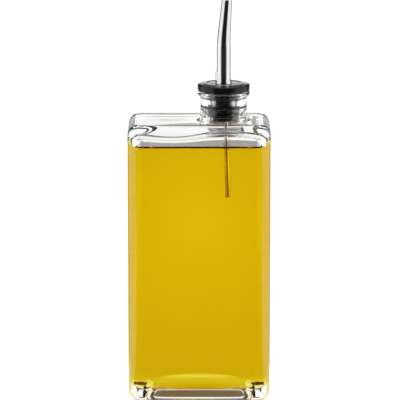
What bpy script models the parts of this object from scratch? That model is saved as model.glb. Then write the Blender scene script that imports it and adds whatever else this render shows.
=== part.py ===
"""A flat rectangular glass oil dispenser: a thick-walled bottle with its neck off centre,
golden oil, a black ribbed stopper, a bent steel pour spout and a breather tube that
reaches down into the oil.

Metres, +Z up. The origin is on the surface that the bottle stands on, under the middle of
its body. The broad front faces -Y, and the neck stands nearer the +X side.
"""

import math

import bmesh
import bpy
from mathutils import Matrix, Vector

# The glass body
BODY_WIDTH = 0.0870
BODY_DEPTH = 0.0540
BODY_HEIGHT = 0.1723
CORNER_RADIUS = 0.0080  # upright corners, seen from above
EDGE_RADIUS = 0.0060  # round the shoulder and round the foot
WALL = 0.0042
SHOULDER_THICKNESS = 0.0045
CAVITY_CORNER_RADIUS = 0.0060
CAVITY_EDGE_RADIUS = 0.0050

# The base: a raised floor inside, and a hollow under it that leaves a flat foot ring
FLOOR_HEIGHT = 0.0080
FLOOR_RISE = 0.0035
FLOOR_HALF_LENGTHS = (0.0340, 0.0190)
PUSH_UP_RISE = 0.0092
PUSH_UP_HALF_LENGTHS = (0.0320, 0.0200)

# The neck and its lip
NECK_OFFSET = 0.0150
NECK_TOP = 0.1900
NECK_RADIUS = 0.0141
NECK_FOOT_RADIUS = 0.0147
NECK_FILLET = 0.0022
LIP_RADIUS = 0.0160
LIP_HEIGHT = 0.0040
LIP_ROUND = 0.0010
NECK_BORE_RADIUS = 0.0110
BORE_FLARE = 0.0030
MOUTH_ROUND = 0.0008

# The oil and the shallow curl where it climbs the glass
OIL_LEVEL = 0.1583
MENISCUS_RISE = 0.0012
MENISCUS_REACH = 0.0036
MENISCUS_STEPS = 4

# The stopper: a dished flange over the lip, and a ribbed plug down the bore
FLANGE_RADIUS = 0.0159
FLANGE_HEIGHT = 0.0047
FLANGE_ROUND = 0.0013
DISH_RADIUS = 0.0112
DISH_RIM_RADIUS = 0.0136
DISH_DEPTH = 0.0007
PLUG_LENGTH = 0.0190
PLUG_TOP_RADIUS = 0.0102
PLUG_END_RADIUS = 0.0095
RIB_HEIGHT = 0.0018
RIB_COUNT = 3
FIRST_RIB_DROP = 0.0040
RIB_PITCH = 0.0055
END_BEAD_HEIGHT = 0.0012

# The pour spout, a bent and tapered tube
SPOUT_RADIUS = 0.00418
SPOUT_TIP_RADIUS = 0.00310
SPOUT_WALL = 0.00045
SPOUT_SHANK = 0.0165  # the length inside the stopper
SPOUT_FOOT_RADIUS = 0.00495
SPOUT_FOOT_HEIGHT = 0.0030
SPOUT_STRAIGHT = 0.0225
SPOUT_BEND_LENGTH = 0.0090
SPOUT_TIP_LENGTH = 0.0196
LEAN_SIDEWAYS = math.radians(4.8)
LEAN_BACK = math.radians(11.0)

# The vent beside the spout's foot, a hood with a slot in its top
VENT_RADIUS = 0.0020
VENT_OFFSET = 0.0030
VENT_HEIGHT = 0.0074
VENT_SLOT = (0.0010, 0.0022, 0.0040)

# The breather tube
BREATHER_RADIUS = 0.00155
BREATHER_BORE = 0.00110
BREATHER_END = 0.1253
BREATHER_OFFSET = 0.0014  # at the plug's end, from the neck's axis towards +X
BREATHER_LEAN = math.radians(1.6)
BREATHER_TOP_OFFSET = -0.0018
BREATHER_STEPS = 10

# Pieces that touch keep this gap
GAP = 0.0003

CORNER_STEPS = 6
EDGE_STEPS = 5
TURN_STEPS = 40
TUBE_STEPS = 28
FINE_TUBE_STEPS = 14
DOME_STEPS = 36
SMOOTH_ANGLE = math.radians(35)
BEYOND = 0.002  # how far a cutter runs past what it cuts

LIP_TOP_GAP_HEIGHT = NECK_TOP + GAP
FLANGE_TOP = LIP_TOP_GAP_HEIGHT + FLANGE_HEIGHT
DISH_FLOOR = FLANGE_TOP - DISH_DEPTH
PLUG_END = NECK_TOP - PLUG_LENGTH
SPOUT_BASE = DISH_FLOOR + GAP
STOPPER_BORE_RADIUS = SPOUT_RADIUS + GAP


def clear_scene():
    for obj in list(bpy.data.objects):
        bpy.data.objects.remove(obj, do_unlink=True)


def make_material(name, colour, roughness, metallic=0.0, transmission=0.0, ior=1.5):
    material = bpy.data.materials.new(name)
    material.use_nodes = True
    shader = material.node_tree.nodes["Principled BSDF"]
    shader.inputs["Base Color"].default_value = (*colour, 1.0)
    shader.inputs["Roughness"].default_value = roughness
    shader.inputs["Metallic"].default_value = metallic
    shader.inputs["Transmission Weight"].default_value = transmission
    shader.inputs["IOR"].default_value = ior
    return material


def object_from(name, bm):
    """Closes a bmesh into an object whose faces point out, smooth except at its edges."""
    bmesh.ops.recalc_face_normals(bm, faces=bm.faces)
    mesh = bpy.data.meshes.new(name)
    bm.to_mesh(mesh)
    bm.free()
    mesh.shade_smooth()
    mesh.set_sharp_from_angle(angle=SMOOTH_ANGLE)
    obj = bpy.data.objects.new(name, mesh)
    bpy.context.scene.collection.objects.link(obj)
    return obj


def as_cutter(obj):
    obj.hide_render = True
    obj.display_type = "WIRE"
    return obj


def combine(obj, other, operation):
    modifier = obj.modifiers.new(f"{operation.lower()}_{other.name}", "BOOLEAN")
    modifier.operation = operation
    modifier.solver = "EXACT"
    modifier.object = other


def arc(centre, radius, start, end, steps):
    """Profile points (distance from the axis, height) on an arc, angles in degrees."""
    angles = [math.radians(start + (end - start) * i / steps) for i in range(steps + 1)]
    return [(centre[0] + radius * math.cos(a), centre[1] + radius * math.sin(a)) for a in angles]


def ring(centre, direction, radius, steps):
    """Points of a circle about a centre line that points in the given direction."""
    turn = Vector((0, 0, 1)).rotation_difference(direction)
    angles = [2 * math.pi * i / steps for i in range(steps)]
    return [centre + turn @ Vector((radius * math.cos(a), radius * math.sin(a), 0)) for a in angles]


def skin(name, rings, tube=False):
    """Joins rings of points into a solid: capped at both ends, or as a tube back to the first."""
    bm = bmesh.new()
    loops = [[bm.verts.new(point) for point in points] for points in rings]
    following = loops[1:] + loops[:1] if tube else loops[1:]
    for low, high in zip(loops, following):
        for i in range(len(low)):
            j = (i + 1) % len(low)
            bm.faces.new((low[i], low[j], high[j], high[i]))
    if not tube:
        bm.faces.new(loops[0])
        bm.faces.new(loops[-1])
    return object_from(name, bm)


def turned(name, profile, steps=TURN_STEPS, tube=False):
    """A solid turned about the neck's axis from (radius, height) points."""
    up = Vector((0, 0, 1))
    return skin(name, [ring(Vector((NECK_OFFSET, 0, z)), up, r, steps) for r, z in profile], tube)


def rounded_block(name, size, bottom, corner, foot_edge, top_edge):
    """A block on the body's axis with round upright corners and round edges above and below."""
    bm = bmesh.new()
    scale = Matrix.Diagonal((*size, 1.0))
    bmesh.ops.create_cube(bm, size=1.0, matrix=Matrix.Translation((0, 0, bottom + size[2] / 2)) @ scale)
    upright = [e for e in bm.edges if abs(e.verts[0].co.z - e.verts[1].co.z) > size[2] / 2]
    bmesh.ops.bevel(
        bm, geom=upright, offset=corner, segments=CORNER_STEPS, profile=0.5, affect="EDGES"
    )
    for height, radius in ((bottom, foot_edge), (bottom + size[2], top_edge)):
        if radius:
            rim = [e for e in bm.edges if all(abs(v.co.z - height) < GAP for v in e.verts)]
            bmesh.ops.bevel(
                bm, geom=rim, offset=radius, segments=EDGE_STEPS, profile=0.5, affect="EDGES"
            )
    return object_from(name, bm)


def dome(name, half_lengths, base, rise, growth=0.0):
    """An ellipsoid whose cap stands up from the base height, with the cap's half lengths."""
    half_height = 2 * rise
    cap_share = math.sqrt(1 - ((half_height - rise) / half_height) ** 2)
    bm = bmesh.new()
    bmesh.ops.create_uvsphere(bm, u_segments=DOME_STEPS, v_segments=DOME_STEPS // 2, radius=1.0)
    size = [half / cap_share + growth for half in half_lengths] + [half_height + growth]
    place = Matrix.Translation((0, 0, base + rise - half_height)) @ Matrix.Diagonal((*size, 1.0))
    bmesh.ops.transform(bm, matrix=place, verts=bm.verts)
    return as_cutter(object_from(name, bm))


def cavity_block(name, clearance, top, top_edge):
    """The space inside the glass, drawn in by a clearance and stopped at a height."""
    inset = WALL + clearance
    bottom = FLOOR_HEIGHT + clearance
    size = (BODY_WIDTH - 2 * inset, BODY_DEPTH - 2 * inset, top - bottom)
    corner = CAVITY_CORNER_RADIUS - clearance
    return rounded_block(name, size, bottom, corner, CAVITY_EDGE_RADIUS - clearance, top_edge)


def make_bottle(material):
    size = (BODY_WIDTH, BODY_DEPTH, BODY_HEIGHT)
    bottle = rounded_block("bottle", size, 0.0, CORNER_RADIUS, EDGE_RADIUS, EDGE_RADIUS)
    combine(bottle, neck_blank(), "UNION")
    ceiling = BODY_HEIGHT - SHOULDER_THICKNESS
    cavity = as_cutter(cavity_block("cavity", 0.0, ceiling, CAVITY_EDGE_RADIUS))
    combine(cavity, dome("floor_dome", FLOOR_HALF_LENGTHS, FLOOR_HEIGHT, FLOOR_RISE), "DIFFERENCE")
    combine(bottle, cavity, "DIFFERENCE")
    combine(bottle, neck_bore(ceiling), "DIFFERENCE")
    combine(bottle, dome("push_up", PUSH_UP_HALF_LENGTHS, 0.0, PUSH_UP_RISE), "DIFFERENCE")
    bottle.data.materials.append(material)
    return bottle


def neck_blank():
    """The outside of the neck, from inside the shoulder up to the rounded lip."""
    fillet_centre = (NECK_FOOT_RADIUS + NECK_FILLET, BODY_HEIGHT + NECK_FILLET)
    lip_bottom = NECK_TOP - LIP_HEIGHT
    bead = LIP_RADIUS - NECK_RADIUS
    profile = [(NECK_FOOT_RADIUS + NECK_FILLET, BODY_HEIGHT - BEYOND)]
    profile += arc(fillet_centre, NECK_FILLET, 270, 180, 4)
    profile += [(NECK_RADIUS, BODY_HEIGHT + 3 * NECK_FILLET)]
    profile += [(NECK_RADIUS, lip_bottom - bead / 3)]
    profile += arc((NECK_RADIUS, lip_bottom + bead * 2 / 3), bead, -60, 0, 4)
    profile += arc((LIP_RADIUS - LIP_ROUND, NECK_TOP - LIP_ROUND), LIP_ROUND, 0, 90, 3)
    return as_cutter(turned("neck_blank", profile))


def neck_bore(ceiling):
    """The hole down the neck, wider at its mouth and where it meets the inside."""
    profile = [(NECK_BORE_RADIUS + BORE_FLARE, ceiling - BEYOND)]
    profile += arc((NECK_BORE_RADIUS + BORE_FLARE, ceiling + BORE_FLARE), BORE_FLARE, 270, 180, 4)
    mouth = (NECK_BORE_RADIUS + MOUTH_ROUND, NECK_TOP - MOUTH_ROUND)
    profile += arc(mouth, MOUTH_ROUND, 180, 90, 3)
    profile += [(NECK_BORE_RADIUS + MOUTH_ROUND, NECK_TOP + BEYOND)]
    return as_cutter(turned("neck_bore", profile))


def make_oil(material):
    """The oil up to its level, curling up the glass all round, and open for the breather tube."""
    top = OIL_LEVEL + MENISCUS_RISE
    oil = cavity_block("oil", GAP, top, 0.0)
    bm = bmesh.new()
    bm.from_mesh(oil.data)
    surface = max((f for f in bm.faces if f.normal.z > 0.9), key=lambda f: f.calc_center_median().z)
    step = MENISCUS_REACH / MENISCUS_STEPS
    for i in range(MENISCUS_STEPS):
        bmesh.ops.inset_region(bm, faces=[surface], thickness=step, use_even_offset=True)
        share = (i + 1) / MENISCUS_STEPS
        height = OIL_LEVEL + MENISCUS_RISE * (1 - share) ** 2
        for vertex in surface.verts:
            vertex.co.z = height
    bm.to_mesh(oil.data)
    bm.free()
    grown = dome("oil_floor_dome", FLOOR_HALF_LENGTHS, FLOOR_HEIGHT, FLOOR_RISE, GAP)
    combine(oil, grown, "DIFFERENCE")
    combine(oil, breather_clearance(top), "DIFFERENCE")
    oil.data.materials.append(material)
    return oil


def breather_centre(height):
    """The breather tube's centre: straight below the plug, and drawn towards the vent above."""
    straight = NECK_OFFSET + BREATHER_OFFSET + (PLUG_END - height) * math.tan(BREATHER_LEAN)
    share = min(max((height - PLUG_END) / (SPOUT_BASE - PLUG_END), 0.0), 1.0)
    blend = share * share * (3 - 2 * share)
    return Vector((straight + (NECK_OFFSET + BREATHER_TOP_OFFSET - straight) * blend, 0, height))


def breather_direction(height):
    step = GAP
    return (breather_centre(height + step) - breather_centre(height - step)).normalized()


def breather_clearance(top):
    ends = (BREATHER_END - GAP, top + BEYOND)
    rings = [
        ring(breather_centre(z), breather_direction(z), BREATHER_RADIUS + GAP, FINE_TUBE_STEPS)
        for z in ends
    ]
    return as_cutter(skin("breather_clearance", rings))


def make_breather_tube(material):
    upper = [PLUG_END + (SPOUT_BASE - PLUG_END) * i / BREATHER_STEPS for i in range(BREATHER_STEPS + 1)]
    heights = [BREATHER_END] + upper
    rings = []
    for radius, route in ((BREATHER_RADIUS, heights), (BREATHER_BORE, heights[::-1])):
        for z in route:
            rings.append(ring(breather_centre(z), breather_direction(z), radius, FINE_TUBE_STEPS))
    tube = skin("breather_tube", rings, tube=True)
    tube.data.materials.append(material)
    return tube


def plug_radius(height):
    share = (NECK_TOP - height) / PLUG_LENGTH
    return PLUG_TOP_RADIUS + (PLUG_END_RADIUS - PLUG_TOP_RADIUS) * share


def make_stopper(material):
    """Turned from the dish's floor out over the flange, down the ribbed plug and up the bore."""
    rib_radius = NECK_BORE_RADIUS - GAP
    under = LIP_TOP_GAP_HEIGHT
    profile = [(STOPPER_BORE_RADIUS, DISH_FLOOR), (DISH_RADIUS, DISH_FLOOR)]
    profile += [((DISH_RADIUS + DISH_RIM_RADIUS) / 2, DISH_FLOOR + DISH_DEPTH * 0.7)]
    profile += [(DISH_RIM_RADIUS, FLANGE_TOP)]
    profile += arc((FLANGE_RADIUS - FLANGE_ROUND, FLANGE_TOP - FLANGE_ROUND), FLANGE_ROUND, 90, 0, 4)
    profile += arc((FLANGE_RADIUS - FLANGE_ROUND, under + FLANGE_ROUND), FLANGE_ROUND, 0, -90, 3)
    profile += [(PLUG_TOP_RADIUS, under)]
    for i in range(RIB_COUNT):
        middle = NECK_TOP - FIRST_RIB_DROP - i * RIB_PITCH
        high, low = middle + RIB_HEIGHT / 2, middle - RIB_HEIGHT / 2
        profile += [(plug_radius(high), high), (rib_radius, middle + RIB_HEIGHT / 5)]
        profile += [(rib_radius, middle - RIB_HEIGHT / 5), (plug_radius(low), low)]
    bead_top = PLUG_END + END_BEAD_HEIGHT
    profile += [(plug_radius(bead_top), bead_top), (PLUG_END_RADIUS + GAP, bead_top - GAP)]
    profile += [(PLUG_END_RADIUS + GAP, PLUG_END + GAP), (PLUG_END_RADIUS, PLUG_END)]
    profile += [(STOPPER_BORE_RADIUS, PLUG_END)]
    stopper = turned("stopper", profile, tube=True)
    stopper.data.materials.append(material)
    return stopper


def spout_axis(distance):
    """Point and direction of the spout's centre line, at a distance along it from its foot."""
    lean = Vector((math.tan(LEAN_SIDEWAYS), math.tan(LEAN_BACK), 0))
    side = lean.normalized()
    angle = math.atan(lean.length)
    bend_radius = SPOUT_BEND_LENGTH / angle
    turned_by = angle * min(max((distance - SPOUT_STRAIGHT) / SPOUT_BEND_LENGTH, 0.0), 1.0)
    direction = side * math.sin(turned_by) + Vector((0, 0, math.cos(turned_by)))
    point = Vector((NECK_OFFSET, 0, SPOUT_BASE + min(distance, SPOUT_STRAIGHT)))
    point += bend_radius * ((1 - math.cos(turned_by)) * side + Vector((0, 0, math.sin(turned_by))))
    point += max(distance - SPOUT_STRAIGHT - SPOUT_BEND_LENGTH, 0.0) * direction
    return point, direction


def spout_radius(distance):
    taper_length = SPOUT_BEND_LENGTH + SPOUT_TIP_LENGTH
    share = min(max((distance - SPOUT_STRAIGHT) / taper_length, 0.0), 1.0)
    return SPOUT_RADIUS + (SPOUT_TIP_RADIUS - SPOUT_RADIUS) * share


def spout_rings(distances, offset=0.0):
    return [ring(*spout_axis(d), spout_radius(d) + offset, TUBE_STEPS) for d in distances]


def make_spout(material):
    """A tube with a flared foot on the stopper, a shank inside it, and a vent on its -X side."""
    length = SPOUT_STRAIGHT + SPOUT_BEND_LENGTH + SPOUT_TIP_LENGTH
    bend = [SPOUT_STRAIGHT + SPOUT_BEND_LENGTH * i / EDGE_STEPS for i in range(EDGE_STEPS + 1)]
    flare = SPOUT_FOOT_RADIUS - SPOUT_RADIUS
    foot = [(0.0, 0.0), (0.0, flare), (0.3, flare), (0.6, 0.4 * flare), (1.0, 0.0)]
    rings = spout_rings([-SPOUT_SHANK])
    for share, wider in foot:
        rings += spout_rings([share * SPOUT_FOOT_HEIGHT], wider)
    rings += spout_rings(bend + [length])
    spout = skin("spout", rings)
    combine(spout, vent_hood(), "UNION")
    bore = skin("spout_bore", spout_rings([-SPOUT_SHANK - BEYOND] + bend + [length + BEYOND], -SPOUT_WALL))
    combine(spout, as_cutter(bore), "DIFFERENCE")
    combine(spout, vent_slot(), "DIFFERENCE")
    spout.data.materials.append(material)
    return spout


def vent_hood():
    up = Vector((0, 0, 1))
    centre = Vector((NECK_OFFSET - VENT_OFFSET, 0, SPOUT_BASE))
    heights = (SPOUT_FOOT_HEIGHT / 10, VENT_HEIGHT)
    rings = [ring(centre + z * up, up, VENT_RADIUS, FINE_TUBE_STEPS) for z in heights]
    return as_cutter(skin("vent_hood", rings))


def vent_slot():
    centre = (NECK_OFFSET - SPOUT_RADIUS, 0, SPOUT_BASE + VENT_HEIGHT + GAP - VENT_SLOT[2] / 2)
    bm = bmesh.new()
    place = Matrix.Translation(centre) @ Matrix.Diagonal((*VENT_SLOT, 1.0))
    bmesh.ops.create_cube(bm, size=1.0, matrix=place)
    return as_cutter(object_from("vent_slot", bm))


def main():
    clear_scene()
    clear_glass = make_material("clear_glass", (0.95, 0.97, 0.95), 0.02, transmission=1.0)
    golden_oil = make_material("golden_oil", (0.70, 0.43, 0.0), 0.03, transmission=0.6, ior=1.47)
    black_plastic = make_material("black_plastic", (0.012, 0.012, 0.012), 0.28)
    polished_steel = make_material("polished_steel", (0.62, 0.61, 0.59), 0.10, metallic=1.0)
    make_bottle(clear_glass)
    make_oil(golden_oil)
    make_stopper(black_plastic)
    make_spout(polished_steel)
    make_breather_tube(polished_steel)


main()
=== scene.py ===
"""Looks of the flat glass oil dispenser, in metres and in the frame of its CAD model."""

import math

import bpy
import numpy as np
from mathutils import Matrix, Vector


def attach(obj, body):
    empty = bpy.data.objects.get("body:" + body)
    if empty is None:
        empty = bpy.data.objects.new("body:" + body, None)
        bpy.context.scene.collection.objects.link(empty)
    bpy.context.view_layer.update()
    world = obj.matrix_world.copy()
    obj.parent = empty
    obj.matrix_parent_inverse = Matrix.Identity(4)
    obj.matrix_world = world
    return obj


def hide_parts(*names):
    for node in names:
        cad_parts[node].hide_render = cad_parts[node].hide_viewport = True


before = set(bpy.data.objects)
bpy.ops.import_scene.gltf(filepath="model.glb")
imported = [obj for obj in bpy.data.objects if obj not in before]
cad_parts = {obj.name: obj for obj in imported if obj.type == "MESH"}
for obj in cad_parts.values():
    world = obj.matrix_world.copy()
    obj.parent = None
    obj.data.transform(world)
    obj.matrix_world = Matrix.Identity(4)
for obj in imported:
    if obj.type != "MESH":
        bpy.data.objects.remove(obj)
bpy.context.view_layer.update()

# The glass body
BODY_WIDTH = 0.0870
BODY_DEPTH = 0.0540
BODY_HEIGHT = 0.1723
CORNER_RADIUS = 0.0080
EDGE_RADIUS = 0.0060
FOOT_ROUND_SIDES = 0.0060
FOOT_ROUND_FRONT = 0.0042
WALL = 0.0042
CEILING = 0.1686
CAVITY_CORNER_RADIUS = 0.0060
CAVITY_EDGE_RADIUS = 0.0040
CEILING_EDGE_RADIUS = 0.0036
CEILING_DROP = 0.0018
CEILING_DROP_ADDED_LEFT = 0.5
CEILING_DROP_BLEND = 0.012
CEILING_WAVE = 0.0007
CEILING_WAVE_LENGTH = 0.062
FLOOR_HEIGHT = 0.0070
FLOOR_RISE = 0.0055
FLOOR_HALF_LENGTHS = (0.0370, 0.0210)
PUSH_UP_RISE = 0.0092
PUSH_UP_EDGE_RISE = 0.0062
PUSH_UP_HALF_LENGTHS = (0.0350, 0.0208)
PUSH_UP_SQUARENESS = 6.0
PUSH_UP_WALL_SLOPES = (1.1, 5.0)  # at the sides, and at the front and back
ROOF_SOFTNESS = 0.0002  # where the hollow's wall turns into its roof
FLOOR_SOFTNESS = 0.0006  # where the floor's edge turns into its dome

# The neck and its lip
NECK_OFFSET = 0.0150
NECK_TOP = 0.1900
NECK_RADIUS = 0.0141
NECK_FOOT_RADIUS = 0.0147
NECK_FILLET = 0.0022
LIP_RADIUS = 0.0160
LIP_ROUND = 0.0010
LIP_SIDE = 0.1884
NECK_ENDS = 0.1858  # where the neck begins to widen into the lip
BORE_RADIUS = 0.0110
BORE_FLARE = 0.0030
MOUTH_ROUND = 0.0008

# The oil
OIL_LEVEL = 0.1576
CONTACT_RISE = 0.0023
CONTACT_REACH = 0.0020
INTO_THE_WALL = 0.0001
TUBE_CONTACT_RISE = 0.0007
TUBE_CONTACT_REACH = 0.0007

# The stopper
FLANGE_RADIUS = 0.0159
FLANGE_BOTTOM = 0.1903
FLANGE_TOP = 0.1950
FLANGE_ROUND = 0.0011
FLANGE_SLOPE = 0.10
DISH_RADIUS = 0.0104
DISH_DEPTH = 0.0003
DISH_CROWN = 0.00010
PLUG_END = 0.1710
PLUG_TOP_RADIUS = 0.0102
PLUG_END_RADIUS = 0.0095
STOPPER_BORE = 0.0044
STOPPER_BORE_END = 0.1850
RIB_HEIGHTS = (0.1860, 0.1805, 0.1750)
RIB_REACHES = (0.01105, 0.0115, 0.0107)
RIB_THICKNESS = 0.0018

# The pour spout
SPOUT_BASE = 0.1946
SPOUT_RADIUS = 0.00418
SPOUT_TIP_RADIUS = 0.00310
SPOUT_WALL = 0.00045
SPOUT_SHANK = 0.0165
SPOUT_FOOT_RADIUS = 0.00495
SPOUT_FOOT_HEIGHT = 0.0032
SPOUT_STRAIGHT = 0.0225
SPOUT_BEND_LENGTH = 0.0090
SPOUT_TIP_LENGTH = 0.0196
LEAN_SIDEWAYS = math.radians(4.8)
LEAN_BACK = math.radians(11.0)
VENT_RADIUS = 0.0020
VENT_OFFSET = 0.0030
VENT_HEIGHT = 0.0074

# The breather tube
BREATHER_RADIUS = 0.00155
BREATHER_WALL = 0.00045
BREATHER_END = 0.1253
BREATHER_OFFSET = 0.0014
BREATHER_LEAN = math.radians(1.6)
BREATHER_TOP_OFFSET = -0.0018

# How finely the glass and the oil are divided
LONG_STEPS = 56
SHORT_STEPS = 32
CORNER_STEPS = 14
TURN_STEPS = 128

# The finishes: pairs of colours are the darkest and the lightest of a grain
GLASS_IOR = 1.5
OIL_IOR = 1.47
OIL_AGAINST_GLASS_IOR = 0.98
OIL_COLOUR = (0.9380, 0.8765, 0.056)
OIL_DENSITY = 160.0
BOTTLE_TINTS = ((0.975, 0.985, 0.972), (0.992, 0.996, 0.990))
BORE_TINTS = ((0.985, 0.985, 0.972), (0.995, 0.996, 0.985))
OIL_TINTS = ((0.985, 0.985, 0.97), (1.0, 1.0, 1.0))
PLASTIC_BLACKS = ((0.002, 0.002, 0.0023), (0.005, 0.005, 0.0055))
SPOUT_COLOURS = ((0.80, 0.80, 0.79), (0.86, 0.86, 0.85))
TUBE_COLOURS = ((0.80, 0.76, 0.68), (0.88, 0.84, 0.76))
# The dark colour of the painted reflection and painted shade down the breather tube
PAINTED_TUBE_REFLECTION_COLOUR = (0.10, 0.055, 0.015)

# The studio
FLOOR_RADIUS = 3.5
FLOOR_STEPS = 96
FLOOR_DROP = 0.0001  # below the foot, so that the two faces don't meet
# The floor's glow, rising into a painted pool of light behind the bottle
FLOOR_AND_PAINTED_POOL_GLOWS = (0.95, 1.12)
PAINTED_POOL_CENTRE = (0.0, 0.50, 0.0)
PAINTED_POOL_REACH = (0.085, 0.46, 1.0)
# A painted shadow under the bottle's foot: its dark brown colour, and where it is full and where
# it fades out
PAINTED_FOOT_SHADOW = (0.13, 0.07, 0.012)
PAINTED_FOOT_SHADOW_REACHES = {"X": (0.036, 0.0415), "Y": (0.0215, 0.0255)}
FAN_START = 0.05
DARK_FLOOR_GLOW = 0.02
DARK_FLOOR_ANGLE = 62
BACK_GLOW_HALF_WIDTH = 0.3
ROOM_HALF_WIDTH = 2.3
SOFTBOX_GLOW = 9.0
SOFTBOX_DISTANCE = 0.45
SOFTBOX_HEIGHTS = (0.05, 0.17)

# The camera
PITCH = math.radians(12.214)
CAMERA_DISTANCE = 1.7526
LENS = 255.7
AIM = Vector((0.00055, 0.0, 0.12155))


def spaced(low, high, count, evenness=0.25):
    """Values from low to high that lie closer together towards both ends."""
    share = np.linspace(0.0, 1.0, count + 1)
    eased = evenness * share + (1 - evenness) * (0.5 - 0.5 * np.cos(np.pi * share))
    return low + (high - low) * eased


def plan_of(half_x, half_y, corner):
    """A rounded rectangle seen from above: the points that its corners turn about, and the
    direction out of the wall at each of them, anticlockwise."""
    ax, ay = half_x - corner, half_y - corner
    points, outward = [], []
    sides = (
        ((ax, -ay), (ax, ay), 0, SHORT_STEPS),
        ((ax, ay), (-ax, ay), 90, LONG_STEPS),
        ((-ax, ay), (-ax, -ay), 180, SHORT_STEPS),
        ((-ax, -ay), (ax, -ay), 270, LONG_STEPS),
    )
    for start, end, facing, steps in sides:
        for share in spaced(0.0, 1.0, steps)[:-1]:
            points.append([start[k] + (end[k] - start[k]) * share for k in (0, 1)])
            outward.append([math.cos(math.radians(facing)), math.sin(math.radians(facing))])
        for i in range(CORNER_STEPS):
            angle = math.radians(facing + 90 * i / CORNER_STEPS)
            points.append(end)
            outward.append([math.cos(angle), math.sin(angle)])
    return np.array(points, dtype=float), np.array(outward, dtype=float)


def at_height(points, height):
    return np.column_stack([points, np.broadcast_to(height, len(points))])


def circle_facing(points, centre, radius):
    """The points of a circle that lie in the same directions from its centre as the given ones."""
    away = points - np.array(centre)
    return np.array(centre) + radius * away / np.linalg.norm(away, axis=1)[:, None]


def oval_facing(points, half_lengths, squareness):
    """Points of a squared-off oval that lie in the same directions from the middle."""
    scaled = np.abs(points / np.array(half_lengths)) ** squareness
    return points / scaled.sum(axis=1)[:, None] ** (1 / squareness)


def dome_height(share, rise):
    """Height of a shallow dome over its rim, at a share of the way out to the rim."""
    return rise * (2 * np.sqrt(np.maximum(1 - 0.75 * share**2, 0.0)) - 1)


def arc(centre, radius, start, end, steps):
    angles = np.radians(np.linspace(start, end, steps + 1))
    return [(centre[0] + radius * math.cos(a), centre[1] + radius * math.sin(a)) for a in angles]


def mesh_object(name, vertices, faces, materials, slots=None):
    mesh = bpy.data.meshes.new(name)
    mesh.from_pydata([tuple(v) for v in vertices], [], faces)
    for material in materials:
        mesh.materials.append(material)
    if slots is not None:
        mesh.polygons.foreach_set("material_index", slots)
    mesh.shade_smooth()
    mesh.update()
    obj = bpy.data.objects.new(name, mesh)
    bpy.context.scene.collection.objects.link(obj)
    return obj


def skin(name, rings, materials, loop=False, slot_of_band=None):
    """Joins rings of points into one closed surface: round to the first again as a loop, or
    drawn together to a point at both ends."""
    count, around = len(rings), len(rings[0])
    vertices = np.vstack(rings)
    faces, slots = [], []
    for band in range(count if loop else count - 1):
        low, high = band * around, (band + 1) % count * around
        for i in range(around):
            j = (i + 1) % around
            faces.append((low + i, low + j, high + j, high + i))
        slots += [slot_of_band(band) if slot_of_band else 0] * around
    if not loop:
        ends = np.array([rings[0].mean(axis=0), rings[-1].mean(axis=0)])
        first, last = len(vertices), (count - 1) * around
        vertices = np.vstack([vertices, ends])
        for i in range(around):
            j = (i + 1) % around
            faces.append((first, j, i))
            faces.append((last + i, last + j, first + 1))
        slots += [0, slot_of_band(count - 1) if slot_of_band else 0] * around
    return mesh_object(name, vertices, faces, materials, slots)


def wall_wave(points, height):
    """The slow unevenness that moulding leaves on the inside of the glass."""
    x, y = points[:, 0], points[:, 1]
    wave = 0.00016 * np.sin(70 * x + 46 * height + 0.6) * np.sin(58 * height + 1.1)
    wave += 0.00011 * np.sin(118 * height - 90 * y + 2.0)
    wave += 0.00007 * np.sin(190 * x + 35 * height)
    return wave


def ceiling_shift(points, share):
    """How the ceiling falls from the bore to its edge, most on the left, and waves along the
    bottle."""
    wave = CEILING_WAVE * share * np.sin(2 * np.pi * points[:, 0] / CEILING_WAVE_LENGTH)
    to_the_left = 0.5 - 0.5 * np.tanh(points[:, 0] / CEILING_DROP_BLEND)
    drop = CEILING_DROP * (1 + CEILING_DROP_ADDED_LEFT * to_the_left)
    return wave - drop * share**2


def cavity_ring(inset, height, outset=0.0):
    """A ring on the inside of the glass, drawn in by an inset from the inner wall."""
    core, outward = plan_of(BODY_WIDTH / 2 - WALL, BODY_DEPTH / 2 - WALL, CAVITY_CORNER_RADIUS)
    reach = CAVITY_CORNER_RADIUS - inset + outset + wall_wave(core, height)
    return core + reach[:, None] * outward


def cavity_floor(outset=0.0):
    """Rings over the inside of the base, from the wall in to the middle."""
    bend = CAVITY_EDGE_RADIUS
    route = []
    for angle in np.radians(np.linspace(0, 90, 13)):
        route.append((bend * (1 - math.cos(angle)), FLOOR_HEIGHT + bend * (1 - math.sin(angle))))
    rings = []
    edge = None
    for inset, height in route:
        edge = cavity_ring(inset, height, outset)
        rings.append((edge, np.full(len(edge), height)))
    for share in spaced(1.0, 0.03, 20, 0.6)[1:]:
        rings.append((edge * share, np.full(len(edge), FLOOR_HEIGHT)))
    lifted = []
    for points, height in rings:
        away = np.linalg.norm(points / np.array(FLOOR_HALF_LENGTHS), axis=1)
        dome = FLOOR_HEIGHT + dome_height(np.minimum(away, 1.15), FLOOR_RISE)
        top = FLOOR_SOFTNESS * np.logaddexp(height / FLOOR_SOFTNESS, dome / FLOOR_SOFTNESS)
        lifted.append(at_height(points, top - outset))
    return lifted


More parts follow.
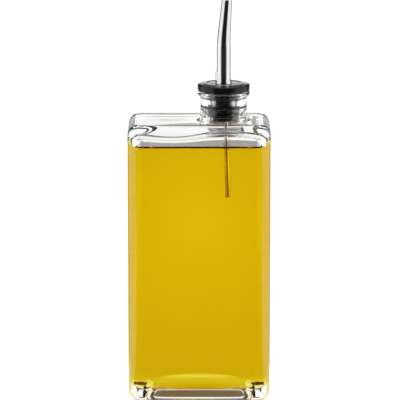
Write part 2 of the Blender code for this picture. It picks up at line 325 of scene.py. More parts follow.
def push_up_height(points, share):
    """The hollow under the base: a steep wall all round and a gently domed roof."""
    half_x, half_y = PUSH_UP_HALF_LENGTHS
    along = 1 - (points[:, 0] / half_x) ** 2
    across = 1 - (points[:, 1] / half_y) ** 2
    roof = PUSH_UP_EDGE_RISE + (PUSH_UP_RISE - PUSH_UP_EDGE_RISE) * along * across
    facing_front = np.minimum(np.abs(points[:, 1]) / (half_y * share), 1.0) ** 4
    steep_x, steep_y = PUSH_UP_WALL_SLOPES[0] * half_x, PUSH_UP_WALL_SLOPES[1] * half_y
    wall = (steep_x + (steep_y - steep_x) * facing_front) * (1 - share)
    height = -ROOF_SOFTNESS * np.logaddexp(-roof / ROOF_SOFTNESS, -wall / ROOF_SOFTNESS)
    return np.maximum(height, 0.0)


def bottle_glass(materials):
    """One skin from the hollow under the base, up the outside, over the lip and down the
    inside to the middle of the floor."""
    core, outward = plan_of(BODY_WIDTH / 2, BODY_DEPTH / 2, CORNER_RADIUS)

    def body_ring(inset):
        reach = np.broadcast_to(CORNER_RADIUS - inset, len(core))
        return core + reach[:, None] * outward

    foot_round = FOOT_ROUND_FRONT + (FOOT_ROUND_SIDES - FOOT_ROUND_FRONT) * outward[:, 0] ** 2
    foot = body_ring(foot_round)
    rim = oval_facing(foot, PUSH_UP_HALF_LENGTHS, PUSH_UP_SQUARENESS)
    rings = []
    for share in [*spaced(0.03, 0.80, 26, 0.7)[:-1], *np.linspace(0.80, 0.997, 40)]:
        rings.append(at_height(rim * share, push_up_height(rim * share, share)))
    for share in (0.0, 0.03, 0.1, 0.3, 0.6, 0.85, 0.97, 1.0):
        rings.append(at_height(rim + (foot - rim) * share, 0.0 if share else 0.00008))
    for angle in np.radians(np.linspace(0, 90, 17))[1:]:
        inset = foot_round * (1 - math.sin(angle))
        rings.append(at_height(body_ring(inset), foot_round * (1 - math.cos(angle))))
    for height in spaced(FOOT_ROUND_SIDES, BODY_HEIGHT - EDGE_RADIUS, 44)[1:]:
        rings.append(at_height(body_ring(0.0), height))
    for angle in np.radians(np.linspace(0, 90, 17))[1:]:
        height = BODY_HEIGHT - EDGE_RADIUS * (1 - math.sin(angle))
        rings.append(at_height(body_ring(EDGE_RADIUS * (1 - math.cos(angle))), height))

    neck = (NECK_OFFSET, 0.0)
    shoulder = body_ring(EDGE_RADIUS)
    foot_radius = NECK_FOOT_RADIUS + NECK_FILLET
    neck_foot = circle_facing(shoulder, neck, foot_radius)
    for share in spaced(0.0, 1.0, 14, 0.4)[1:-1]:
        rings.append(at_height(shoulder + (neck_foot - shoulder) * share, BODY_HEIGHT))
    profile = arc((foot_radius, BODY_HEIGHT + NECK_FILLET), NECK_FILLET, 270, 180, 10)
    profile += [(NECK_RADIUS + 0.0002, BODY_HEIGHT + 2.2 * NECK_FILLET)]
    profile += [(NECK_RADIUS, BODY_HEIGHT + 3 * NECK_FILLET)]
    profile += [(NECK_RADIUS, 0.1830), (NECK_RADIUS, NECK_ENDS)]
    profile += [(NECK_RADIUS + 0.00008, 0.1864), (NECK_RADIUS + 0.0003, 0.1868)]
    profile += [(LIP_RADIUS - 0.0009, 0.1872), (LIP_RADIUS - 0.0003, 0.1877)]
    profile += [(LIP_RADIUS - 0.00004, LIP_SIDE)]
    profile += arc((LIP_RADIUS - LIP_ROUND, NECK_TOP - LIP_ROUND), LIP_ROUND, 0, 90, 8)
    profile += [(LIP_RADIUS - 0.0022, NECK_TOP), (LIP_RADIUS - 0.0034, NECK_TOP)]
    mouth = (BORE_RADIUS + MOUTH_ROUND, NECK_TOP - MOUTH_ROUND)
    profile += arc(mouth, MOUTH_ROUND, 90, 180, 6)
    profile += [(BORE_RADIUS, z) for z in spaced(mouth[1], CEILING + BORE_FLARE, 10)[1:-1]]
    profile += arc((BORE_RADIUS + BORE_FLARE, CEILING + BORE_FLARE), BORE_FLARE, 180, 270, 10)
    neck_from = len(rings)
    for radius, height in profile:
        rings.append(at_height(circle_facing(shoulder, neck, radius), height))
    bore = [i for i, (radius, height) in enumerate(profile) if radius == BORE_RADIUS]
    bore_from, bore_to = neck_from + bore[0], neck_from + bore[-1]

    ceiling_edge = cavity_ring(CEILING_EDGE_RADIUS, CEILING)
    bore_edge = circle_facing(shoulder, neck, BORE_RADIUS + BORE_FLARE)
    for share in spaced(0.0, 1.0, 14, 0.4)[1:-1]:
        points = bore_edge + (ceiling_edge - bore_edge) * share
        rings.append(at_height(points, CEILING + ceiling_shift(points, share)))
    for angle in np.radians(np.linspace(90, 0, 15)):
        inset = CEILING_EDGE_RADIUS * (1 - math.cos(angle))
        height = CEILING - CEILING_EDGE_RADIUS * (1 - math.sin(angle))
        points = cavity_ring(inset, height)
        rings.append(at_height(points, height + ceiling_shift(points, 1.0)))
    contact = OIL_LEVEL + CONTACT_RISE
    start = CEILING - CEILING_EDGE_RADIUS
    for share in spaced(0.0, 1.0, 10, 0.6)[1:]:
        height = start + (contact - start) * share
        points = cavity_ring(0.0, height)
        rings.append(at_height(points, height + (1 - share) * ceiling_shift(points, 1.0)))
    wetted_from = len(rings) - 1
    bottom = FLOOR_HEIGHT + CAVITY_EDGE_RADIUS
    rings += [at_height(cavity_ring(0.0, z), z) for z in spaced(contact, bottom, 60, 0.8)[1:-1]]
    rings += cavity_floor()

    def slot_of_band(band):
        if bore_from <= band < bore_to:
            return 2
        return 1 if band >= wetted_from else 0

    return skin("bottle_glass", rings, materials, slot_of_band=slot_of_band)


def oil_body(material):
    """The oil, let a little way into the wall so that no air shows between them."""
    contact = OIL_LEVEL + CONTACT_RISE
    bottom = FLOOR_HEIGHT + CAVITY_EDGE_RADIUS
    rings = cavity_floor(INTO_THE_WALL)[::-1]
    for height in spaced(bottom, contact, 60, 0.8)[1:]:
        rings.append(at_height(cavity_ring(0.0, height, INTO_THE_WALL), height))
    surface_from = len(rings) - 1
    edge = None
    for inset in (0.0, 0.00015, 0.0003, 0.0005, 0.0008, 0.0012, 0.0017, 0.0024, 0.0034, 0.0046):
        edge = cavity_ring(inset, contact)
        height = OIL_LEVEL + CONTACT_RISE * math.exp(-inset / CONTACT_REACH)
        rings.append(at_height(edge, height))
    tube = breather_centre(OIL_LEVEL)
    ring = circle_facing(edge, (tube[0], 0.0), BREATHER_RADIUS + 0.004)
    for share in spaced(0.0, 1.0, 16, 0.6)[1:-1]:
        rings.append(at_height(edge + (ring - edge) * share, OIL_LEVEL))
    for away in (0.004, 0.003, 0.0022, 0.0016, 0.0011, 0.0007, 0.0004, 0.00015, -0.0003, -0.0012):
        ring = circle_facing(edge, (tube[0], 0.0), BREATHER_RADIUS + away)
        climb = TUBE_CONTACT_RISE * math.exp(-max(away, 0.0) / TUBE_CONTACT_REACH)
        rings.append(at_height(ring, OIL_LEVEL + climb))
    obj = skin("oil_body", rings, [material])
    around = len(rings[0])
    free = np.zeros(len(obj.data.polygons), dtype=np.float32)
    free[surface_from * around:(len(rings) - 1) * around] = 1.0
    free[(len(rings) - 1) * around + 1::2] = 1.0
    layer = obj.data.attributes.new("free_surface", "FLOAT", "FACE")
    layer.data.foreach_set("value", free)
    return obj


def plug_radius(height):
    share = (NECK_TOP - height) / (NECK_TOP - PLUG_END)
    return PLUG_TOP_RADIUS + (PLUG_END_RADIUS - PLUG_TOP_RADIUS) * share


def turned_ring(radius, height):
    angles = np.linspace(0, 2 * np.pi, TURN_STEPS, endpoint=False)
    points = [NECK_OFFSET + radius * np.cos(angles), radius * np.sin(angles)]
    return at_height(np.column_stack(points), height)


def stopper_body(materials):
    profile = [(STOPPER_BORE, PLUG_END + 0.0003), (STOPPER_BORE + 0.0003, PLUG_END)]
    profile += [(0.006, PLUG_END), (PLUG_END_RADIUS - 0.001, PLUG_END)]
    profile += arc((PLUG_END_RADIUS - 0.0001, PLUG_END + 0.0004), 0.0004, 270, 360, 5)
    profile += [(PLUG_END_RADIUS + 0.0003, PLUG_END + 0.0009)]
    profile += [(PLUG_END_RADIUS, PLUG_END + 0.0013)]
    for height in spaced(PLUG_END + 0.0015, FLANGE_BOTTOM - 0.0004, 8):
        profile.append((plug_radius(height), height))
    profile += [(PLUG_TOP_RADIUS + 0.0001, FLANGE_BOTTOM - 0.0001)]
    profile += [(PLUG_TOP_RADIUS + 0.0005, FLANGE_BOTTOM)]
    profile += [(FLANGE_RADIUS - 0.004, FLANGE_BOTTOM), (FLANGE_RADIUS - 0.0012, FLANGE_BOTTOM)]
    profile += arc((FLANGE_RADIUS - 0.0009, FLANGE_BOTTOM + 0.0009), 0.0009, 270, 360, 6)
    profile += [(FLANGE_RADIUS, FLANGE_BOTTOM + 0.0016)]
    profile += [(FLANGE_RADIUS, FLANGE_TOP - FLANGE_ROUND - 0.0008)]
    crown_radius = FLANGE_RADIUS - FLANGE_ROUND
    crown_edge = FLANGE_TOP - FLANGE_SLOPE * (crown_radius - DISH_RADIUS)
    profile += arc((crown_radius, crown_edge - FLANGE_ROUND), FLANGE_ROUND, 0, 84, 10)
    for radius in np.linspace(crown_radius - 0.0004, DISH_RADIUS + 0.0008, 6):
        profile.append((radius, FLANGE_TOP - FLANGE_SLOPE * (radius - DISH_RADIUS)))
    floor = FLANGE_TOP - DISH_DEPTH
    profile += [(DISH_RADIUS + 0.0003, FLANGE_TOP - 0.00006)]
    profile += [(DISH_RADIUS + 0.0001, FLANGE_TOP - 0.00014)]
    profile += [(DISH_RADIUS - 0.0001, floor + 0.00004), (DISH_RADIUS - 0.0004, floor)]
    for radius in spaced(DISH_RADIUS - 0.0004, STOPPER_BORE + 0.0002, 12)[1:]:
        profile.append((radius, floor + DISH_CROWN * (1 - (radius / DISH_RADIUS) ** 2)))
    profile += [(STOPPER_BORE, floor), (STOPPER_BORE, STOPPER_BORE_END)]
    plug_bands = len([z for r, z in profile[:40] if z < FLANGE_BOTTOM])
    return skin(
        "stopper_body",
        [turned_ring(r, z) for r, z in profile],
        materials,
        loop=True,
        slot_of_band=lambda band: int(band < plug_bands),
    )


def spout_axis(distance):
    """Point and direction of the spout's middle line, at a distance along it from its foot."""
    lean = Vector((math.tan(LEAN_SIDEWAYS), math.tan(LEAN_BACK), 0))
    side = lean.normalized()
    angle = math.atan(lean.length)
    bend_radius = SPOUT_BEND_LENGTH / angle
    turned_by = angle * min(max((distance - SPOUT_STRAIGHT) / SPOUT_BEND_LENGTH, 0.0), 1.0)
    direction = side * math.sin(turned_by) + Vector((0, 0, math.cos(turned_by)))
    point = Vector((NECK_OFFSET, 0, SPOUT_BASE + min(distance, SPOUT_STRAIGHT)))
    point += bend_radius * ((1 - math.cos(turned_by)) * side + Vector((0, 0, math.sin(turned_by))))
    point += max(distance - SPOUT_STRAIGHT - SPOUT_BEND_LENGTH, 0.0) * direction
    return point, direction


def spout_radius(distance):
    taper = SPOUT_BEND_LENGTH + SPOUT_TIP_LENGTH
    share = min(max((distance - SPOUT_STRAIGHT) / taper, 0.0), 1.0)
    radius = SPOUT_RADIUS + (SPOUT_TIP_RADIUS - SPOUT_RADIUS) * share
    if 0.0 <= distance <= SPOUT_FOOT_HEIGHT:
        fall = 0.5 + 0.5 * math.cos(math.pi * distance / SPOUT_FOOT_HEIGHT)
        radius += (SPOUT_FOOT_RADIUS - SPOUT_RADIUS) * fall
    return radius


def breather_centre(height):
    straight = NECK_OFFSET + BREATHER_OFFSET + (PLUG_END - height) * math.tan(BREATHER_LEAN)
    share = min(max((height - PLUG_END) / (SPOUT_BASE - PLUG_END), 0.0), 1.0)
    eased = share * share * (3 - 2 * share)
    return Vector((straight + (NECK_OFFSET + BREATHER_TOP_OFFSET - straight) * eased, 0, height))


def node_group_with(name, inputs):
    tree = bpy.data.node_groups.new(name, "GeometryNodeTree")
    tree.interface.new_socket("Geometry", in_out="INPUT", socket_type="NodeSocketGeometry")
    for label, kind in inputs:
        tree.interface.new_socket(label, in_out="INPUT", socket_type=kind)
    tree.interface.new_socket("Geometry", in_out="OUTPUT", socket_type="NodeSocketGeometry")
    return tree, tree.nodes.new("NodeGroupInput"), tree.nodes.new("NodeGroupOutput")


def use_tree(obj, tree, values):
    """Adds the tree as a modifier and sets its inputs by their identifiers."""
    modifier = obj.modifiers.new(tree.name, "NODES")
    modifier.node_group = tree
    for item in tree.interface.items_tree:
        if item.in_out == "INPUT" and item.name in values:
            modifier[item.identifier] = values[item.name]


def as_plain_mesh(obj):
    """Turns what the modifiers make into the object's own mesh and takes them off."""
    shown = obj.evaluated_get(bpy.context.evaluated_depsgraph_get())
    mesh = bpy.data.meshes.new_from_object(shown)
    mesh.name = obj.name
    obj.modifiers.clear()
    obj.data = mesh
    mesh.shade_smooth()
    return obj


def path_tube_tree():
    """Sweeps a circle along the object's line, as wide as its radius attribute says."""
    tree, given, result = node_group_with(
        "tube_along_a_line", [("Sides", "NodeSocketInt"), ("Finish", "NodeSocketMaterial")]
    )
    nodes, links = tree.nodes, tree.links
    line = nodes.new("GeometryNodeMeshToCurve")
    width = nodes.new("GeometryNodeInputNamedAttribute")
    width.data_type = "FLOAT"
    width.inputs["Name"].default_value = "radius_here"
    circle = nodes.new("GeometryNodeCurvePrimitiveCircle")
    circle.inputs["Radius"].default_value = 1.0
    sweep = nodes.new("GeometryNodeCurveToMesh")
    realize = nodes.new("GeometryNodeRealizeInstances")
    finish = nodes.new("GeometryNodeSetMaterial")
    links.new(given.outputs["Geometry"], line.inputs["Mesh"])
    links.new(given.outputs["Sides"], circle.inputs["Resolution"])
    links.new(line.outputs["Curve"], sweep.inputs["Curve"])
    links.new(width.outputs["Attribute"], sweep.inputs["Scale"])
    links.new(circle.outputs["Curve"], sweep.inputs["Profile Curve"])
    links.new(sweep.outputs["Mesh"], realize.inputs["Geometry"])
    links.new(realize.outputs["Geometry"], finish.inputs["Geometry"])
    links.new(given.outputs["Finish"], finish.inputs["Material"])
    links.new(finish.outputs["Geometry"], result.inputs["Geometry"])
    return tree


def swept_tube(name, tree, points, radii, wall, sides, material):
    """A hollow tube along the given points, its wall inside the given radii."""
    mesh = bpy.data.meshes.new(name)
    mesh.from_pydata([tuple(p) for p in points], [(i, i + 1) for i in range(len(points) - 1)], [])
    layer = mesh.attributes.new("radius_here", "FLOAT", "POINT")
    layer.data.foreach_set("value", radii)
    obj = bpy.data.objects.new(name, mesh)
    bpy.context.scene.collection.objects.link(obj)
    use_tree(obj, tree, {"Sides": sides, "Finish": material})
    as_plain_mesh(obj)
    thick = obj.modifiers.new("wall", "SOLIDIFY")
    thick.thickness = wall
    thick.offset = -1.0
    thick.use_even_offset = True
    soft = obj.modifiers.new("rim", "BEVEL")
    soft.width = wall * 0.25
    soft.segments = 2
    soft.limit_method = "ANGLE"
    soft.angle_limit = math.radians(60)
    return as_plain_mesh(obj)


def pour_spout(tree, material):
    length = SPOUT_STRAIGHT + SPOUT_BEND_LENGTH + SPOUT_TIP_LENGTH
    distances = [-SPOUT_SHANK, -0.008, -0.002, -0.0002]
    distances += np.linspace(0.0, 0.0036, 14).tolist()
    distances += np.linspace(0.005, SPOUT_STRAIGHT - 0.001, 12).tolist()
    distances += np.linspace(SPOUT_STRAIGHT, SPOUT_STRAIGHT + SPOUT_BEND_LENGTH, 16).tolist()
    distances += np.linspace(SPOUT_STRAIGHT + SPOUT_BEND_LENGTH + 0.001, length, 14).tolist()
    points = [spout_axis(d)[0] for d in distances]
    radii = [spout_radius(d) for d in distances]
    spout = swept_tube("pour_spout", tree, points, radii, SPOUT_WALL, 72, material)
    return join(spout, vent_hood(material))


def vent_hood(material):
    """The small hood on the left of the spout's foot, with a slot in its top."""
    rings = []
    angles = np.linspace(0, 2 * np.pi, 40, endpoint=False)
    round_over = arc((VENT_RADIUS - 0.0004, VENT_HEIGHT - 0.0004), 0.0004, 0, 90, 5)
    outline = [(VENT_RADIUS, VENT_RADIUS, z) for z in (0.0002, 0.002, 0.0045, 0.0068)]
    outline += [(r, r, z) for r, z in round_over]
    outline += [(0.0013, 0.0014, VENT_HEIGHT), (0.0008, 0.0012, VENT_HEIGHT - 0.0001)]
    outline += [(0.00075, 0.00115, VENT_HEIGHT - 0.0006), (0.0007, 0.0011, 0.0035)]
    for half_x, half_y, z in outline:
        x = NECK_OFFSET - VENT_OFFSET + half_x * np.cos(angles)
        rings.append(np.column_stack([x, half_y * np.sin(angles), np.full(40, SPOUT_BASE + z)]))
    return skin("vent_hood", rings, [material])


def breather(tree, material):
    heights = np.linspace(SPOUT_BASE - 0.001, PLUG_END, 14).tolist()
    heights += np.linspace(PLUG_END - 0.003, BREATHER_END, 20).tolist()
    points = [breather_centre(z) for z in heights]
    radii = [BREATHER_RADIUS] * len(points)
    return swept_tube("breather", tree, points, radii, BREATHER_WALL, 48, material)


def rib_tree():
    """Sets a ring on every point of a mesh, as wide as the point's reach attribute says."""
    tree, given, result = node_group_with(
        "ribs_on_the_plug", [("Thickness", "NodeSocketFloat"), ("Finish", "NodeSocketMaterial")]
    )
    nodes, links = tree.nodes, tree.links
    ring = nodes.new("GeometryNodeCurvePrimitiveCircle")
    ring.inputs["Resolution"].default_value = TURN_STEPS
    ring.inputs["Radius"].default_value = 1.0
    place = nodes.new("GeometryNodeInstanceOnPoints")
    reach = nodes.new("GeometryNodeInputNamedAttribute")
    reach.data_type = "FLOAT"
    reach.inputs["Name"].default_value = "reach_here"
    real = nodes.new("GeometryNodeRealizeInstances")
    bead = nodes.new("GeometryNodeCurvePrimitiveCircle")
    bead.inputs["Resolution"].default_value = 20
    half = nodes.new("ShaderNodeMath")
    half.operation = "MULTIPLY"
    half.inputs[1].default_value = 0.5
    sweep = nodes.new("GeometryNodeCurveToMesh")
    realize = nodes.new("GeometryNodeRealizeInstances")
    finish = nodes.new("GeometryNodeSetMaterial")
    links.new(given.outputs["Geometry"], place.inputs["Points"])
    links.new(ring.outputs["Curve"], place.inputs["Instance"])
    links.new(reach.outputs["Attribute"], place.inputs["Scale"])
    links.new(place.outputs["Instances"], real.inputs["Geometry"])
    links.new(given.outputs["Thickness"], half.inputs[0])
    links.new(half.outputs["Value"], bead.inputs["Radius"])
    links.new(real.outputs["Geometry"], sweep.inputs["Curve"])
    links.new(bead.outputs["Curve"], sweep.inputs["Profile Curve"])
    links.new(sweep.outputs["Mesh"], realize.inputs["Geometry"])
    links.new(realize.outputs["Geometry"], finish.inputs["Geometry"])
    links.new(given.outputs["Finish"], finish.inputs["Material"])
    links.new(finish.outputs["Geometry"], result.inputs["Geometry"])
    return tree


def plug_ribs(material):
    mesh = bpy.data.meshes.new("plug_ribs")
    mesh.from_pydata([(NECK_OFFSET, 0.0, z) for z in RIB_HEIGHTS], [], [])
    layer = mesh.attributes.new("reach_here", "FLOAT", "POINT")
    layer.data.foreach_set("value", [reach - RIB_THICKNESS / 2 for reach in RIB_REACHES])
    obj = bpy.data.objects.new("plug_ribs", mesh)
    bpy.context.scene.collection.objects.link(obj)
    use_tree(obj, rib_tree(), {"Thickness": RIB_THICKNESS, "Finish": material})
    return as_plain_mesh(obj)


def join(obj, other):
    """Adds the faces of a second object to the first and removes the second."""
    both = [obj, other]
    with bpy.context.temp_override(
        active_object=obj, object=obj, selected_objects=both, selected_editable_objects=both
    ):
        bpy.ops.object.join()
    return obj


# Finishes

def finish_named(name):
    material = bpy.data.materials.new(name)
    material.use_nodes = True
    nodes, links = material.node_tree.nodes, material.node_tree.links
    return material, nodes, links, nodes["Principled BSDF"]


def grain(nodes, links, scale, stretch=(1.0, 1.0, 1.0)):
    """Noise on the object's own coordinates."""
    where = nodes.new("ShaderNodeTexCoord")
    turn = nodes.new("ShaderNodeMapping")
    turn.inputs["Scale"].default_value = stretch
    noise = nodes.new("ShaderNodeTexNoise")
    noise.inputs["Scale"].default_value = scale
    noise.inputs["Detail"].default_value = 3.0
    links.new(where.outputs["Object"], turn.inputs["Vector"])
    links.new(turn.outputs["Vector"], noise.inputs["Vector"])
    return noise.outputs["Fac"]


def between(nodes, links, factor, low, high):
    """A value or colour that runs from low to high with the factor."""
    ramp = nodes.new("ShaderNodeValToRGB")
    ramp.color_ramp.elements[0].position = 0.3
    ramp.color_ramp.elements[1].position = 0.7
    ramp.color_ramp.elements[0].color = (*low, 1.0)
    ramp.color_ramp.elements[1].color = (*high, 1.0)
    links.new(factor, ramp.inputs["Fac"])
    return ramp.outputs["Color"]


def grained(nodes, links, scale, low_and_high, stretch=(1.0, 1.0, 1.0)):
    """A colour, or a value given as a number, that varies with a grain of the given scale."""
    low, high = [one if isinstance(one, tuple) else (one,) * 3 for one in low_and_high]
    return between(nodes, links, grain(nodes, links, scale, stretch), low, high)


def object_axes(nodes, links, vector=None):
    """The X, Y and Z of the object's own coordinates, or of another vector."""
    split = nodes.new("ShaderNodeSeparateXYZ")
    if vector is None:
        vector = nodes.new("ShaderNodeTexCoord").outputs["Object"]
    links.new(vector, split.inputs["Vector"])
    return split.outputs


def computed(nodes, links, operation, *values):
    """The result of a Math node, such as ABSOLUTE, on the given values."""
    node = nodes.new("ShaderNodeMath")
    node.operation = operation
    for socket, value in zip(node.inputs, values):
        links.new(value, socket)
    return node.outputs["Value"]


def mapped(nodes, links, value, given, wanted, smooth=False):
    """Turns a value's range from the given one into the wanted one."""
    node = nodes.new("ShaderNodeMapRange")
    node.interpolation_type = "SMOOTHSTEP" if smooth else "LINEAR"
    node.inputs["From Min"].default_value, node.inputs["From Max"].default_value = given
    node.inputs["To Min"].default_value, node.inputs["To Max"].default_value = wanted
    links.new(value, node.inputs["Value"])
    return node.outputs["Result"]


def clear_glass(name, tints=None):
    """Clear glass, with a slight tint where two tints are given."""
    material, nodes, links, shader = finish_named(name)
    if tints:
        links.new(grained(nodes, links, 30, tints), shader.inputs["Base Color"])
    shader.inputs["Roughness"].default_value = 0.0
    shader.inputs["IOR"].default_value = GLASS_IOR
    shader.inputs["Transmission Weight"].default_value = 1.0
    return material, shader


def bottle_glass_finish():
    return clear_glass("bottle_clear_glass", BOTTLE_TINTS)[0]


def bore_glass_finish():
    """The inside of the neck. It throws back no light from straight on, so that the plug behind
    it looks black."""
    material, shader = clear_glass("bottle_bore_glass", BORE_TINTS)
    shader.inputs["Specular Tint"].default_value = (0.0, 0.0, 0.0, 1.0)
    return material


def wetted_glass_finish():
    """Where oil meets glass the two bend light alike, so the face itself does not show."""
    material, shader = clear_glass("bottle_wetted_glass")
    shader.inputs["Alpha"].default_value = 0.0
    return material


def olive_oil_finish():
    """Clear golden oil: colour from its depth, and a free surface that bends light as oil does.
    Against the glass it bends light only as much as oil and glass differ."""
    material, nodes, links, shader = finish_named("olive_oil")
    links.new(grained(nodes, links, 22, OIL_TINTS), shader.inputs["Base Color"])
    shader.inputs["Roughness"].default_value = 0.0
    shader.inputs["Transmission Weight"].default_value = 1.0
    shader.inputs["IOR"].default_value = OIL_IOR
    free = nodes.new("ShaderNodeAttribute")
    free.attribute_name = "free_surface"
    bend = mapped(nodes, links, free.outputs["Fac"], (0.0, 1.0), (OIL_AGAINST_GLASS_IOR, OIL_IOR))
    links.new(bend, shader.inputs["IOR"])
    depth = nodes.new("ShaderNodeVolumeAbsorption")
    depth.inputs["Color"].default_value = (*OIL_COLOUR, 1.0)
    depth.inputs["Density"].default_value = OIL_DENSITY
    links.new(depth.outputs["Volume"], nodes["Material Output"].inputs["Volume"])
    return material


def black_plastic_finish(name, roughness, ior, straight_on=0.5, aslant=0.5):
    """Black moulded plastic, whose gloss may be weaker straight on than it is aslant."""
    material, nodes, links, shader = finish_named(name)
    links.new(grained(nodes, links, 260, PLASTIC_BLACKS), shader.inputs["Base Color"])
    links.new(grained(nodes, links, 420, roughness), shader.inputs["Roughness"])
    shader.inputs["IOR"].default_value = ior
    if aslant != straight_on:
        facing = nodes.new("ShaderNodeLayerWeight").outputs["Facing"]
        gloss = mapped(nodes, links, facing, (0.05, 0.55), (straight_on, aslant))
        links.new(gloss, shader.inputs["Specular IOR Level"])
    relief = nodes.new("ShaderNodeBump")
    relief.inputs["Strength"].default_value = 0.05
    relief.inputs["Distance"].default_value = 0.0001
    links.new(grain(nodes, links, 1500), relief.inputs["Height"])
    links.new(relief.outputs["Normal"], shader.inputs["Normal"])
    return material


def steel_finish(name, colours, roughness):
    """Polished steel, with fine lines of rubbing down its length."""
    material, nodes, links, shader = finish_named(name)
    links.new(grained(nodes, links, 150, colours), shader.inputs["Base Color"])
    rubbed = grained(nodes, links, 900, roughness, stretch=(1.0, 1.0, 0.08))
    links.new(rubbed, shader.inputs["Roughness"])
    shader.inputs["Metallic"].default_value = 1.0
    return material


def tube_painted_reflection_finish():
    """The breather's steel, with dark lines painted down its front, its back and its sides: a
    painted reflection of the dark room at its front and back, and painted shade at its sides.
    """
    material = steel_finish("breather_steel_painted_reflection", TUBE_COLOURS, (0.38, 0.48))
    nodes, links = material.node_tree.nodes, material.node_tree.links
    shader = nodes["Principled BSDF"]
    plain = shader.inputs["Base Color"].links[0].from_socket
    where = nodes.new("ShaderNodeTexCoord")
    upright = nodes.new("ShaderNodeMapping")
    upright.vector_type = "TEXTURE"
    upright.inputs["Location"].default_value = (NECK_OFFSET + BREATHER_OFFSET, 0.0, PLUG_END)
    upright.inputs["Rotation"].default_value = (0.0, -BREATHER_LEAN, 0.0)
    links.new(where.outputs["Object"], upright.inputs["Vector"])
    across = object_axes(nodes, links, upright.outputs["Vector"])["X"]
    away = computed(nodes, links, "ABSOLUTE", across)
    # Painted reflection and painted shade: dark along the tube's middle line, seen at its front
    # and back, and darker near its sides
    lines = nodes.new("ShaderNodeValToRGB")
    stops = lines.color_ramp.elements
    stops[0].position, stops[0].color = 0.16, (*PAINTED_TUBE_REFLECTION_COLOUR, 1.0)
    stops[1].position, stops[1].color = 0.36, (1.0, 1.0, 1.0, 1.0)
    for position, shade in ((0.80, 1.0), (0.90, 0.25)):
        stops.new(position).color = (shade, shade, shade, 1.0)
    lined = nodes.new("ShaderNodeMix")
    lined.data_type = "RGBA"
    lined.blend_type = "MULTIPLY"
    lined.inputs["Factor"].default_value = 1.0
    share = mapped(nodes, links, away, (0.0, BREATHER_RADIUS), (0.0, 1.0))
    links.new(share, lines.inputs["Fac"])
    links.new(plain, lined.inputs["A"])
    links.new(lines.outputs["Color"], lined.inputs["B"])
    links.new(lined.outputs["Result"], shader.inputs["Base Color"])
    return material


# The studio

def glow_material(name, radiance, matt=0.0):
    material, nodes, links, shader = finish_named(name)
    shader.inputs["Base Color"].default_value = (matt, matt, matt, 1.0)
    shader.inputs["Specular IOR Level"].default_value = 0.0
    shader.inputs["Roughness"].default_value = 1.0
    shader.inputs["Emission Color"].default_value = (1.0, 1.0, 1.0, 1.0)
    shader.inputs["Emission Strength"].default_value = radiance
    return material, nodes, links, shader


def panel(name, corners, finish, seen_by):
    """A flat studio panel that only the named kind of ray sees, of a material or a plain glow."""
    if not isinstance(finish, bpy.types.Material):
        finish = glow_material(name, finish)[0]
    obj = mesh_object(name, corners, [tuple(range(len(corners)))], [finish])
    obj.visible_camera = False
    obj.visible_shadow = False
    obj.visible_volume_scatter = False
    obj.visible_diffuse = False
    obj.visible_glossy = seen_by == "glossy"
    obj.visible_transmission = seen_by == "transmission"
    return obj


def painted_foot_shadow_mask(nodes, links, place):
    """Where the painted shadow falls: one where the bottle's foot covers the floor, fading to
    nothing at its edges.
    """
    axes = object_axes(nodes, links, place)
    covers = []
    for axis, full_and_none in PAINTED_FOOT_SHADOW_REACHES.items():
        away = computed(nodes, links, "ABSOLUTE", axes[axis])
        covers.append(mapped(nodes, links, away, full_and_none, (1.0, 0.0), smooth=True))
    return computed(nodes, links, "MULTIPLY", *covers)


def pale_floor_finish():
    """A pale floor that glows and is lit, brighter in a painted pool of light behind the bottle
    and darker in a painted shadow right under it.
    """
    material, nodes, links, shader = glow_material("pale_floor", 1.0, 0.15)
    where = nodes.new("ShaderNodeTexCoord").outputs["Object"]
    # A painted pool of light: the floor glows more behind the bottle
    pool = nodes.new("ShaderNodeMapping")
    pool.vector_type = "TEXTURE"
    pool.inputs["Location"].default_value = PAINTED_POOL_CENTRE
    pool.inputs["Scale"].default_value = PAINTED_POOL_REACH
    fade = nodes.new("ShaderNodeTexGradient")
    fade.gradient_type = "SPHERICAL"
    links.new(where, pool.inputs["Vector"])
    links.new(pool.outputs["Vector"], fade.inputs["Vector"])
    lit = mapped(nodes, links, fade.outputs["Fac"], (0.0, 1.0), FLOOR_AND_PAINTED_POOL_GLOWS, smooth=True)
    links.new(lit, shader.inputs["Emission Strength"])
    # A painted shadow: the floor's glow turns dark brown under the bottle's foot
    shade = nodes.new("ShaderNodeMix")
    shade.data_type = "RGBA"
    shade.inputs["A"].default_value = (1.0, 1.0, 1.0, 1.0)
    shade.inputs["B"].default_value = (*PAINTED_FOOT_SHADOW, 1.0)
    links.new(painted_foot_shadow_mask(nodes, links, where), shade.inputs["Factor"])
    links.new(shade.outputs["Result"], shader.inputs["Emission Color"])
    return material


def back_glow_finish():
    """A tall soft light behind the bottle, brightest low down."""
    material, nodes, links, shader = glow_material("back_glow", 1.0)
    height = object_axes(nodes, links)["Z"]
    glow = mapped(nodes, links, height, (0.42, 0.88), (1.5, 0.22), smooth=True)
    links.new(glow, shader.inputs["Emission Strength"])
    return material


def dark_room_finish():
    """The unlit room that the bottle faces, fading to white at its left and right."""
    material, nodes, links, shader = glow_material("dark_room_in_front", 1.0)
    away = computed(nodes, links, "ABSOLUTE", object_axes(nodes, links)["X"])
    glow = mapped(nodes, links, away, (0.9, ROOM_HALF_WIDTH), (0.012, 1.0), smooth=True)
    links.new(glow, shader.inputs["Emission Strength"])
    return material


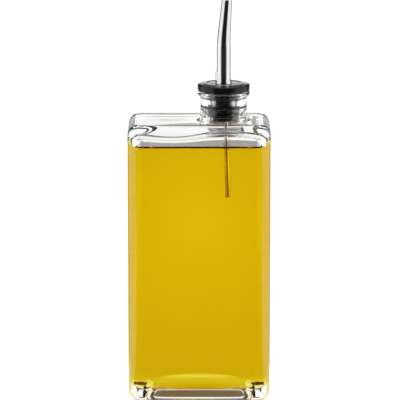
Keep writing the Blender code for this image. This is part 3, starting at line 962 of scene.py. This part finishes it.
def dark_floor_finish():
    """The unlit floor in front of the bottle, fading to the lit one at its left and right."""
    material, nodes, links, shader = glow_material("dark_floor_in_front", 1.0)
    axes = object_axes(nodes, links)
    aside = computed(nodes, links, "DIVIDE", axes["X"], axes["Y"])
    away = computed(nodes, links, "ABSOLUTE", aside)
    fade = [math.tan(math.radians(angle)) for angle in (28, DARK_FLOOR_ANGLE)]
    glow = mapped(nodes, links, away, fade, (DARK_FLOOR_GLOW, 0.95), smooth=True)
    links.new(glow, shader.inputs["Emission Strength"])
    return material


def floor_fan(name, near, far, half_angle, finish, ahead=-1):
    """A panel on the floor that widens with its distance, in front of the bottle or behind it."""
    spread = math.tan(math.radians(half_angle))
    at_near, at_far = FAN_START + spread * near, FAN_START + spread * far
    corners = [
        (-at_near, ahead * near, 0.0),
        (-at_far, ahead * far, 0.0),
        (at_far, ahead * far, 0.0),
        (at_near, ahead * near, 0.0),
    ]
    return panel(name, corners, finish, "glossy")


def upright_panel(name, left, right, y, top, finish):
    """A panel that stands on the floor across the view."""
    corners = [(left, y, 0.0), (right, y, 0.0), (right, y, top), (left, y, top)]
    return panel(name, corners, finish, "glossy")


def studio():
    angles = np.linspace(0, 2 * np.pi, FLOOR_STEPS, endpoint=False)
    ring = [(FLOOR_RADIUS * math.cos(a), FLOOR_RADIUS * math.sin(a), -FLOOR_DROP) for a in angles]
    floor = mesh_object("studio_floor", ring, [tuple(range(FLOOR_STEPS))], [pale_floor_finish()])
    floor_fan("dark_floor_near", 0.032, 0.70, 38, DARK_FLOOR_GLOW)
    floor_fan("dark_floor_far", 0.70, 2.4, DARK_FLOOR_ANGLE, dark_floor_finish())
    floor_fan("grey_floor_behind", 0.05, 2.4, 58, 0.22, ahead=1)
    half = BACK_GLOW_HALF_WIDTH
    upright_panel("back_glow", -half, half, 2.2, 1.6, back_glow_finish())
    for side, name in ((-1, "grey_wall_left"), (1, "grey_wall_right")):
        upright_panel(name, half * side, 3.8 * side, 2.25, 2.2, 0.06)
    front = dark_room_finish()
    upright_panel("dark_room_in_front", -ROOM_HALF_WIDTH, ROOM_HALF_WIDTH, -1.6, 1.5, front)
    low, high = SOFTBOX_HEIGHTS
    for side, name in ((-1, "softbox_left"), (1, "softbox_right")):
        x = SOFTBOX_DISTANCE * side
        for part, near, far in (("front", -0.45, -0.085), ("back", 0.085, 0.24)):
            box = [(x, near, low), (x, far, low), (x, far, high), (x, near, high)]
            panel(f"{name}_{part}", box, SOFTBOX_GLOW, "transmission")
    world = bpy.data.worlds.new("studio_air")
    world.use_nodes = True
    world.node_tree.nodes["Background"].inputs["Color"].default_value = (1.0, 1.0, 1.0, 1.0)
    world.node_tree.nodes["Background"].inputs["Strength"].default_value = 1.0
    bpy.context.scene.world = world


def aim_camera():
    data = bpy.data.cameras.new("product_camera")
    data.lens = LENS
    data.sensor_width = 36.0
    data.clip_start, data.clip_end = 0.05, 30.0
    camera = bpy.data.objects.new("product_camera", data)
    forward = Vector((0.0, math.cos(PITCH), -math.sin(PITCH)))
    camera.location = AIM - forward * CAMERA_DISTANCE
    camera.rotation_euler = forward.to_track_quat("-Z", "Y").to_euler()
    bpy.context.scene.collection.objects.link(camera)
    bpy.context.scene.camera = camera
    bpy.context.scene.view_settings.view_transform = "Standard"


def main():
    aim_camera()
    studio()
    glass = bottle_glass([bottle_glass_finish(), wetted_glass_finish(), bore_glass_finish()])
    oil = oil_body(olive_oil_finish())
    gloss_plastic = black_plastic_finish("stopper_gloss_plastic", (0.05, 0.08), 1.4)
    satin_plastic = black_plastic_finish("stopper_satin_plastic", (0.08, 0.14), 1.9, 0.02, 1.0)
    steel = steel_finish("spout_polished_steel", SPOUT_COLOURS, (0.05, 0.10))
    tube_steel = tube_painted_reflection_finish()
    stopper = stopper_body([gloss_plastic, satin_plastic])
    ribs = plug_ribs(satin_plastic)
    tube_tree = path_tube_tree()
    spout = pour_spout(tube_tree, steel)
    tube = breather(tube_tree, tube_steel)
    places = (
        (glass, "clear_glass", "bottle"),
        (oil, "golden_oil", "oil"),
        (stopper, "black_plastic", "stopper"),
        (ribs, "black_plastic", "stopper"),
        (spout, "polished_steel", "spout"),
        (tube, "polished_steel", "breather_tube"),
    )
    for piece, slot, node in places:
        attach(piece, "root")
        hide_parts(node)


main()
